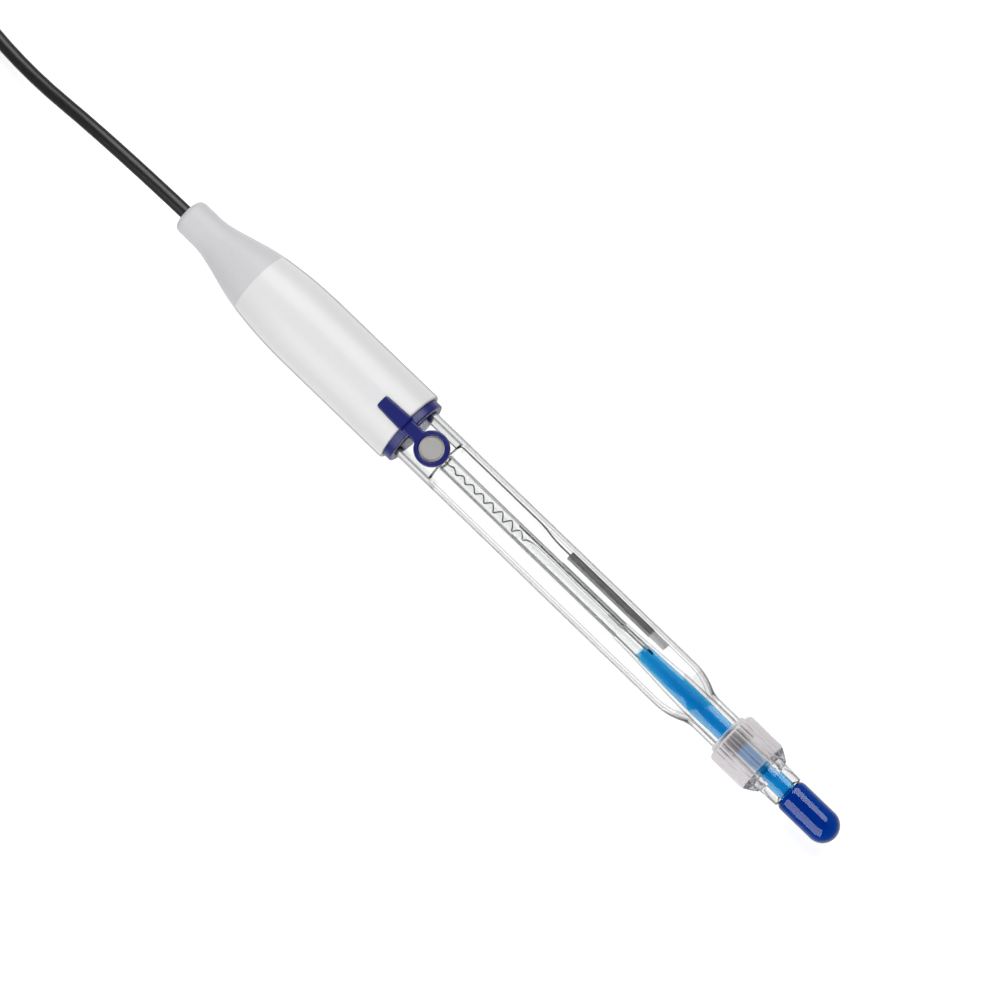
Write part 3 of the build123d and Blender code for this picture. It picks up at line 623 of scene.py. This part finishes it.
def bulb_line(radius, start_r):
    """The bulb's outline from the stem to the axis, for its outside or its inside."""
    center = TIP - BULB_R
    line = [(BULB_START, start_r)]
    for k in range(1, EDGE_STEPS + 1):
        angle = math.pi / 2 * k / EDGE_STEPS
        swell = (radius - start_r) * math.sin(angle)
        line.append((BULB_START + BULB_SHOULDER * (1 - math.cos(angle)), start_r + swell))
    line.append((center, radius))
    line += arc(center, radius, center + radius, 0, center, 0, steps=2 * EDGE_STEPS)
    return line


# The bulb's outside tint goes to a painted deep blue shade at its outline.
bulb_to_air = clear_material("bulb_to_air", GLASS_IOR, (0.66, 0.6, 0.74), (0.03, 0.02, 0.22), (0.1, 0.75))
bulb = turned_piece(
    "ph_bulb",
    [(bulb_line(BULB_R, CONE_END_R), 0), (bulb_line(BULB_R - BULB_WALL, THROAT_R)[::-1], 1)],
    [bulb_to_air, glass_to_liquid],
)
stand_for(bulb, "root", "membrane_blue", "membrane_bulb")


def depth_tinted(name, clearness, depth, shadow):
    """A liquid or gel whose sides are clear and whose inside takes colour away with depth."""
    material = bpy.data.materials.new(name)
    material.use_nodes = True
    nodes = material.node_tree.nodes
    links = material.node_tree.links
    clear = nodes.new("ShaderNodeBsdfTransparent")
    shade = nodes.new("ShaderNodeBsdfTransparent")
    shade.inputs["Color"].default_value = (*shadow, 1)
    ray = nodes.new("ShaderNodeLightPath")
    shaded = nodes.new("ShaderNodeMixShader")
    links.new(ray.outputs["Is Shadow Ray"], shaded.inputs["Fac"])
    links.new(clear.outputs["BSDF"], shaded.inputs[1])
    links.new(shade.outputs["BSDF"], shaded.inputs[2])
    inside = nodes.new("ShaderNodeVolumeAbsorption")
    inside.inputs["Color"].default_value = (*clearness, 1)
    inside.inputs["Density"].default_value = depth
    links.new(shaded.outputs["Shader"], nodes["Material Output"].inputs["Surface"])
    links.new(inside.outputs["Volume"], nodes["Material Output"].inputs["Volume"])
    return material


gel_side = depth_tinted("gel_blue", GEL_CLEARNESS, GEL_DEPTH, GEL_SHADOW)
gel_outline = [(GEL_LEVEL - rise, r) for rise, r in GEL_DISH]
gel_outline += [(GEL_LEVEL - GEL_DISH_DEPTH, wet_bore[0][1] - FILM)]
gel_outline += [(x, r - FILM) for x, r in wet_bore]
gel_outline += [(x, max(r - FILM, 0)) for x, r in bulb_line(BULB_R - BULB_WALL, THROAT_R)]
gel = turned_piece("gel_fill", [(gel_outline, 0)], [gel_side], closed=False)
stand_for(gel, "root", "gel_blue", "inner_gel")

# The wires: a silver wire comes down the stem in a loose coil and ends in a dark twisted element in the gel.
# Beside the stem a second wire leads to the reference cartridge, a dark rod with a pale porous end.
dark_silver = plated_metal("dark_silver", (0.16, 0.155, 0.15), 0.35, 3000)
dress("inner_wire", dark_silver)
dress("reference_wire", dark_silver)
silver_chloride = moulded("silver_chloride", (0.05, 0.05, 0.055), 0.6, 2500, mottle=0.3, bump_strength=0.6)
cartridge_grey = moulded("cartridge_grey", (0.07, 0.07, 0.073), 0.5, 1800, mottle=0.25, bump_strength=0.5)
porous_grey = moulded("porous_grey", (0.33, 0.33, 0.33), 0.8, 4000, mottle=0.2, bump_strength=0.7)
dress("inner_element", silver_chloride)
dress("reference_cartridge", cartridge_grey)
dress("cartridge_plug", porous_grey)

# The junction nut: a ribbed grip of frosted, faintly smoky plastic that slides on the neck over its seal.
# The blue gel shows faintly through its middle, and its front cone is polished clear.
NUT_START = 89.7
NUT_GRIP = 90.6
NUT_RIM = 99.5
NUT_FRONT = 102.3
NUT_R = 5.9
NUT_LIP_R = 4.5
NUT_SHOULDER_R = 5.4
NUT_FRONT_R = 4.15
NUT_LIP_ROUND = 0.15
NUT_BACK_ROUND = ((0.1, 0.35), (0.4, 0.1), (0.7, 0.0))
NUT_FRONT_ROUND = ((-0.2, 0.0), (0.3, 0.2))
NUT_FLANK = (1.5, 0.9)
GRIP_MIDDLE = (93.5, 96.5)
NUT_RIBS = 30
RIB_STEPS = 12
NUT_RIB_DEPTH = 0.11
RIB_LIP = 0.6
RIB_RISE = 0.8
RIB_INSIDE = 0.4
RIB_SLOPE = 0.6
NUT_SLIDE_R = 3.98
SLEEVE_START = 98.6
SLEEVE_R = 3.76
NUT_LOWEST = math.pi


def rib(x, r, angle):
    """The nut's ribs: rounded crests and narrow valleys, fading at both ends, with a crest lowest."""
    valley = (0.5 + 0.5 * math.cos(NUT_RIBS * (angle - NUT_LOWEST) + math.pi)) ** 3
    along_fade = min(max((x - NUT_START - RIB_LIP) / RIB_RISE, 0), 1)
    across_fade = min(max((r - NUT_SLIDE_R - RIB_INSIDE) / RIB_SLOPE, 0), 1)
    return r - NUT_RIB_DEPTH * valley * along_fade * across_fade


frosted = bpy.data.materials.new("frosted_nut")
frosted.use_nodes = True
frosted_nodes = frosted.node_tree.nodes
frosted_links = frosted.node_tree.links
frosted_body = frosted_nodes["Principled BSDF"]
frosted_body.inputs["Roughness"].default_value = 0.42
frosted_body.inputs["Subsurface Weight"].default_value = 0.6
frosted_body.inputs["Subsurface Radius"].default_value = (0.004, 0.003, 0.003)
frosted_body.inputs["Subsurface Scale"].default_value = 0.4
frosted_place = frosted_nodes.new("ShaderNodeTexCoord")
frosted_noise = frosted_nodes.new("ShaderNodeTexNoise")
frosted_noise.inputs["Scale"].default_value = 1400
frosted_tint = frosted_nodes.new("ShaderNodeMixRGB")
frosted_tint.inputs["Color1"].default_value = (0.74, 0.71, 0.73, 1)
frosted_tint.inputs["Color2"].default_value = (0.8, 0.77, 0.79, 1)
frosted_links.new(frosted_place.outputs["Object"], frosted_noise.inputs["Vector"])
frosted_links.new(frosted_noise.outputs["Fac"], frosted_tint.inputs["Fac"])
frosted_links.new(frosted_tint.outputs["Color"], frosted_body.inputs["Base Color"])
frosted_clear = frosted_nodes.new("ShaderNodeBsdfTransparent")
frosted_clear.inputs["Color"].default_value = (0.9, 0.87, 0.88, 1)
frosted_mix = frosted_nodes.new("ShaderNodeMixShader")
frosted_facing = frosted_nodes.new("ShaderNodeLayerWeight")
frosted_facing.inputs["Blend"].default_value = 0.5
frosted_depth = frosted_nodes.new("ShaderNodeMapRange")
frosted_depth.inputs["From Max"].default_value = 0.24
frosted_depth.inputs["To Min"].default_value = 0.8
frosted_depth.inputs["To Max"].default_value = 0.05
frosted_links.new(frosted_facing.outputs["Facing"], frosted_depth.inputs["Value"])
frosted_links.new(frosted_depth.outputs["Result"], frosted_mix.inputs["Fac"])
frosted_links.new(frosted_body.outputs["BSDF"], frosted_mix.inputs[1])
frosted_links.new(frosted_clear.outputs["BSDF"], frosted_mix.inputs[2])
frosted_links.new(frosted_mix.outputs["Shader"], frosted_nodes["Material Output"].inputs["Surface"])
# The nut's clear front cone gets painted shade where it is grazed.
nut_front = clear_material("nut_front", 1.12, (0.93, 0.93, 0.95), PAINTED_EDGE_SHADE, (0.3, 0.8))
nut = turned_piece(
    "junction_nut_grip",
    [
        ([(NUT_START, NUT_SLIDE_R)], 1),
        ([(NUT_START, NUT_LIP_R - NUT_LIP_ROUND), (NUT_START + NUT_LIP_ROUND, NUT_LIP_R)], 0),
        ([(NUT_GRIP, NUT_LIP_R), (NUT_GRIP, NUT_SHOULDER_R)], 0),
        ([(NUT_GRIP + forward, NUT_R - inward) for forward, inward in NUT_BACK_ROUND], 0),
        ([(x, NUT_R) for x in GRIP_MIDDLE], 0),
        ([(NUT_RIM + forward, NUT_R - inward) for forward, inward in NUT_FRONT_ROUND], 0),
        ([(NUT_RIM + NUT_FLANK[0], NUT_R - NUT_FLANK[1]), (NUT_FRONT, NUT_FRONT_R)], 2),
        ([(NUT_FRONT, SLEEVE_R), (SLEEVE_START, SLEEVE_R), (SLEEVE_START, NUT_SLIDE_R)], 1),
    ],
    [frosted, clear_side, nut_front],
    steps=NUT_RIBS * RIB_STEPS,
    radius_at=rib,
)
stand_for(nut, "junction", "nut_plastic", "junction_nut")
dress("nut_o_ring", plug_rubber)

# The junction sleeve: a clear moulded collar in the nut's front, ground inside to seat on the stem's cone.
# It slides with the nut, which opens the junction between cone and sleeve.
SLEEVE_END = 107.0
SLEEVE_END_R = 3.6
SLEEVE_BORE_R = 2.35
SLEEVE_MOUTH_R = 3.11
SLEEVE_GAP = 0.01
SLEEVE_ROUND = 0.25
SLEEVE_IOR = 1.49
# The sleeve's clear tint gets painted shade where it is grazed.
sleeve_to_air = clear_material("sleeve_to_air", SLEEVE_IOR, (0.97, 0.975, 0.975), PAINTED_EDGE_SHADE)
sleeve = turned_piece(
    "junction_sleeve_clear",
    [
        ([(SLEEVE_START, SLEEVE_BORE_R), (SLEEVE_START, SLEEVE_R - SLEEVE_GAP)], 0),
        ([(NUT_FRONT, SLEEVE_R - SLEEVE_GAP), (SLEEVE_END - SLEEVE_ROUND, SLEEVE_END_R)], 0),
        ([(SLEEVE_END, SLEEVE_END_R - SLEEVE_ROUND), (SLEEVE_END, SLEEVE_MOUTH_R)], 0),
        ([(CONE_START, SLEEVE_BORE_R), (SLEEVE_START, SLEEVE_BORE_R)], 1),
    ],
    [sleeve_to_air, glass_to_liquid],
)
stand_for(sleeve, "junction", "clear_plastic", "junction_sleeve")

# The stopper: one soft moulding of dark blue silicone, a collar round the glass with a pull tab on the cap.
# Its strap runs to a ring that holds the grey plug.
COLLAR_R = 7.6
COLLAR_BACK = -0.4
COLLAR_FRONT = 1.9
TAB_END = -6.6
TAB_ROOT = 0.4
TAB_TOP = 8.75
TAB_FLOOR = 7.3
TAB_HALF = 1.7
TAB_TAPER = 0.8
STRAP_Z = 7.1
STRAP_HALF = 0.8
STRAP_WIDTH = 2.8
STRAP_START = -0.6
STRAP_END = 5.6
RING_STATION = 7.5
RING_R = 3.75
RING_TOP = 7.95
RING_BOTTOM = 6.25
PLUG_HEAD_R = 2.65
WELL_DEPTH = 0.55
WELL_BAND = 0.5
WELL_MARGIN = 0.1
PAD_STEPS = 64
BAND_STEPS = 128
VOXEL = 0.16


def silicone_block(mesh, corners_low, corners_high, taper_end=1.0):
    """A rounded bar on the electrode's axes; taper_end narrows its far end towards the cap."""
    x0, y0, z0 = corners_low
    x1, y1, z1 = corners_high
    verts = []
    for x in (x0, x1):
        scale = taper_end if x == x0 else 1
        for y in (y0, y1):
            for z in (z0, z1):
                verts.append(mesh.verts.new((x * MM, y * scale * MM, z * MM)))
    for face in ((0, 1, 3, 2), (4, 6, 7, 5), (0, 4, 5, 1), (2, 3, 7, 6), (0, 2, 6, 4), (1, 5, 7, 3)):
        mesh.faces.new([verts[i] for i in face])


def silicone_round(mesh, radius, low, high, center_x):
    """A round pad of the moulding, standing on the glass."""
    place = Matrix.Translation((center_x * MM, 0, (low + high) / 2 * MM))
    bmesh.ops.create_cone(
        mesh,
        cap_ends=True,
        segments=PAD_STEPS,
        radius1=radius * MM,
        radius2=radius * MM,
        depth=(high - low) * MM,
        matrix=place,
    )


def silicone_band(mesh, inner, outer, start, end):
    """The collar's band round the glass."""
    rings = []
    for x, r in ((start, inner), (start, outer), (end, outer), (end, inner)):
        ring = []
        for k in range(BAND_STEPS):
            angle = 2 * math.pi * k / BAND_STEPS
            ring.append(mesh.verts.new((x * MM, r * math.sin(angle) * MM, r * math.cos(angle) * MM)))
        rings.append(ring)
    for first, second in ((0, 1), (1, 2), (2, 3), (3, 0)):
        for k in range(BAND_STEPS):
            n = (k + 1) % BAND_STEPS
            mesh.faces.new([rings[first][k], rings[first][n], rings[second][n], rings[second][k]])


def as_object(name, build):
    """A closed form as its own object, on the electrode's axes."""
    mesh = bmesh.new()
    build(mesh)
    bmesh.ops.recalc_face_normals(mesh, faces=mesh.faces)
    data = bpy.data.meshes.new(name)
    mesh.to_mesh(data)
    mesh.free()
    piece = bpy.data.objects.new(name, data)
    scene.collection.objects.link(piece)
    return piece


tab_low = (TAB_END, -TAB_HALF, TAB_FLOOR)
tab_high = (TAB_ROOT, TAB_HALF, TAB_TOP)
strap_low = (STRAP_START, -STRAP_WIDTH / 2, STRAP_Z - STRAP_HALF)
strap_high = (STRAP_END, STRAP_WIDTH / 2, STRAP_Z + STRAP_HALF)
stopper_forms = [
    as_object("collar_form", lambda m: silicone_band(m, GLASS_R + FILM, COLLAR_R, COLLAR_BACK, COLLAR_FRONT)),
    as_object("tab_form", lambda m: silicone_block(m, tab_low, tab_high, TAB_TAPER)),
    as_object("strap_form", lambda m: silicone_block(m, strap_low, strap_high)),
    as_object("pad_form", lambda m: silicone_round(m, RING_R, RING_BOTTOM, RING_TOP, RING_STATION)),
]
joined = bmesh.new()
for form in stopper_forms:
    joined.from_mesh(form.data)
stopper_data = bpy.data.meshes.new("silicone_stopper")
joined.to_mesh(stopper_data)
joined.free()
for form in stopper_forms:
    bpy.data.objects.remove(form)
stopper = bpy.data.objects.new("silicone_stopper", stopper_data)
scene.collection.objects.link(stopper)
blend_forms = stopper.modifiers.new("one_moulding", "REMESH")
blend_forms.mode = "VOXEL"
blend_forms.voxel_size = VOXEL * MM
blend_forms.use_smooth_shade = True
soften = stopper.modifiers.new("soft_corners", "SMOOTH")
soften.factor = 0.5
soften.iterations = 8
bpy.context.view_layer.update()
soft_mesh = bpy.data.meshes.new_from_object(stopper.evaluated_get(bpy.context.evaluated_depsgraph_get()))
stopper.modifiers.clear()
stopper.data = soft_mesh
well = bmesh.new()
well.from_mesh(soft_mesh)
for vert in well.verts:
    x, y, z = (value / MM for value in vert.co)
    reach = math.hypot(x - RING_STATION, y)
    if reach < PLUG_HEAD_R + WELL_MARGIN and z > RING_TOP - WELL_BAND:
        vert.co.z -= WELL_DEPTH * MM
well.to_mesh(soft_mesh)
well.free()
soft_mesh.transform(lay_down)
blue_silicone = moulded("blue_silicone", (0.01, 0.015, 0.16), 0.36, 900, mottle=0.06, bump_strength=0.1)
soft_mesh.materials.clear()
soft_mesh.materials.append(blue_silicone)
for polygon in soft_mesh.polygons:
    polygon.use_smooth = True
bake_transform(stopper)
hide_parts("stopper_collar", "stopper_ring")
stopper_grey = moulded("stopper_grey", (0.43, 0.42, 0.41), 0.45, 1500, mottle=0.05, bump_strength=0.2)
dress("stopper_plug", stopper_grey)

# The studio: a white table that keeps the electrode's shadow, a soft lamp from the picture's top, and a fill.
# Glass and gloss see a table that is bright below them and dark far off, and a room with two bright sides
# like soft boxes, a dark ceiling and a dark horizon.
LIGHTS = (
    ("key", Vector((-0.45, 0.95, 0.95)), 1.2, 18.0),
    ("fill", Vector((0.25, -0.95, 0.7)), 1.2, 14.0),
)
for name, place, width, power in LIGHTS:
    lamp_data = bpy.data.lights.new(name, "AREA")
    lamp_data.size = width
    lamp_data.energy = power
    lamp = bpy.data.objects.new(name, lamp_data)
    lamp.location = place
    lamp.rotation_euler = (-place).to_track_quat("-Z", "Y").to_euler()
    scene.collection.objects.link(lamp)


def ramp_of(tree, source, stops):
    """A grey level that follows a number between 0 and 1."""
    ramp = tree.nodes.new("ShaderNodeValToRGB")
    elements = ramp.color_ramp.elements
    while len(elements) < len(stops):
        elements.new(0.5)
    for element, (position, level) in zip(elements, stops):
        element.position = position
        element.color = (level, level, level, 1)
    tree.links.new(source, ramp.inputs["Fac"])
    return ramp.outputs["Color"]


def sum_of(tree, first, second, operation="ADD"):
    """Two numbers added, or joined by another operation."""
    node = tree.nodes.new("ShaderNodeMath")
    node.operation = operation
    tree.links.new(first, node.inputs[0])
    if isinstance(second, float):
        node.inputs[1].default_value = second
    else:
        tree.links.new(second, node.inputs[1])
    return node.outputs["Value"]


REACH = 3.0
TABLE_DROP = 0.02
TABLE_WHITE = 0.72
TABLE_GLOW = 0.6
table = bpy.data.meshes.new("table")
corners = [(-REACH, -REACH, 0), (REACH, -REACH, 0), (REACH, REACH, 0), (-REACH, REACH, 0)]
table.from_pydata(corners, [], [(0, 1, 2, 3)])
table_piece = bpy.data.objects.new("table", table)
table_piece.location.z = -TABLE_DROP * MM
scene.collection.objects.link(table_piece)
white_table = bpy.data.materials.new("white_table")
white_table.use_nodes = True
tree = white_table.node_tree
tree.nodes.remove(tree.nodes["Principled BSDF"])
matt = tree.nodes.new("ShaderNodeBsdfDiffuse")
matt.inputs["Color"].default_value = (TABLE_WHITE, TABLE_WHITE, TABLE_WHITE, 1)
glow = tree.nodes.new("ShaderNodeEmission")
below = tree.nodes.new("ShaderNodeEmission")
table_ray = tree.nodes.new("ShaderNodeLightPath")
steepness = tree.nodes.new("ShaderNodeLayerWeight")
steepness.inputs["Blend"].default_value = 0.5
TABLE_LEVELS = ((0.0, 1.0), (0.28, 0.97), (0.45, 0.5), (0.75, 0.12))
below_level = ramp_of(tree, steepness.outputs["Facing"], TABLE_LEVELS)
through = sum_of(tree, table_ray.outputs["Is Glossy Ray"], table_ray.outputs["Is Transmission Ray"])
glow_level = sum_of(tree, table_ray.outputs["Is Camera Ray"], TABLE_GLOW, "MULTIPLY")
tree.links.new(glow_level, glow.inputs["Strength"])
tree.links.new(below_level, below.inputs["Color"])
both = tree.nodes.new("ShaderNodeAddShader")
tree.links.new(matt.outputs["BSDF"], both.inputs[0])
tree.links.new(glow.outputs["Emission"], both.inputs[1])
table_mix = tree.nodes.new("ShaderNodeMixShader")
tree.links.new(through, table_mix.inputs["Fac"])
tree.links.new(both.outputs["Shader"], table_mix.inputs[1])
tree.links.new(below.outputs["Emission"], table_mix.inputs[2])
tree.links.new(table_mix.outputs["Shader"], tree.nodes["Material Output"].inputs["Surface"])
table.materials.append(white_table)

ROOM_LEVEL = 0.6
SIDE_LEVELS = ((0.08, 0.7), (0.25, 0.6), (0.36, 0.2), (0.62, 0.2), (0.74, 1.0), (0.96, 1.0))
HEIGHT_LEVELS = ((0.02, 0.12), (0.22, 1.0))
BENT_LOSS = -0.6
room = bpy.data.worlds.new("white_room")
room.use_nodes = True
scene.world = room
tree = room.node_tree
room_light = tree.nodes["Background"]
direction = tree.nodes.new("ShaderNodeTexCoord")
parts = tree.nodes.new("ShaderNodeSeparateXYZ")
tree.links.new(direction.outputs["Generated"], parts.inputs["Vector"])
sideways = sum_of(tree, sum_of(tree, parts.outputs["Y"], 0.5, "MULTIPLY"), 0.5)
sides = ramp_of(tree, sideways, SIDE_LEVELS)
height = ramp_of(tree, parts.outputs["Z"], HEIGHT_LEVELS)
boxes = sum_of(tree, sides, height, "MULTIPLY")
room_ray = tree.nodes.new("ShaderNodeLightPath")
mirrored = sum_of(tree, room_ray.outputs["Is Glossy Ray"], room_ray.outputs["Is Transmission Ray"])
bent = sum_of(tree, sum_of(tree, room_ray.outputs["Is Transmission Ray"], BENT_LOSS, "MULTIPLY"), 1.0)
seen = sum_of(tree, sum_of(tree, mirrored, boxes, "MULTIPLY"), bent, "MULTIPLY")
unseen = sum_of(tree, sum_of(tree, mirrored, -1.0, "MULTIPLY"), 1.0)
plain = sum_of(tree, unseen, ROOM_LEVEL, "MULTIPLY")
for_camera = sum_of(tree, room_ray.outputs["Is Camera Ray"], 1.0 - ROOM_LEVEL, "MULTIPLY")
tree.links.new(sum_of(tree, sum_of(tree, seen, plain), for_camera), room_light.inputs["Strength"])
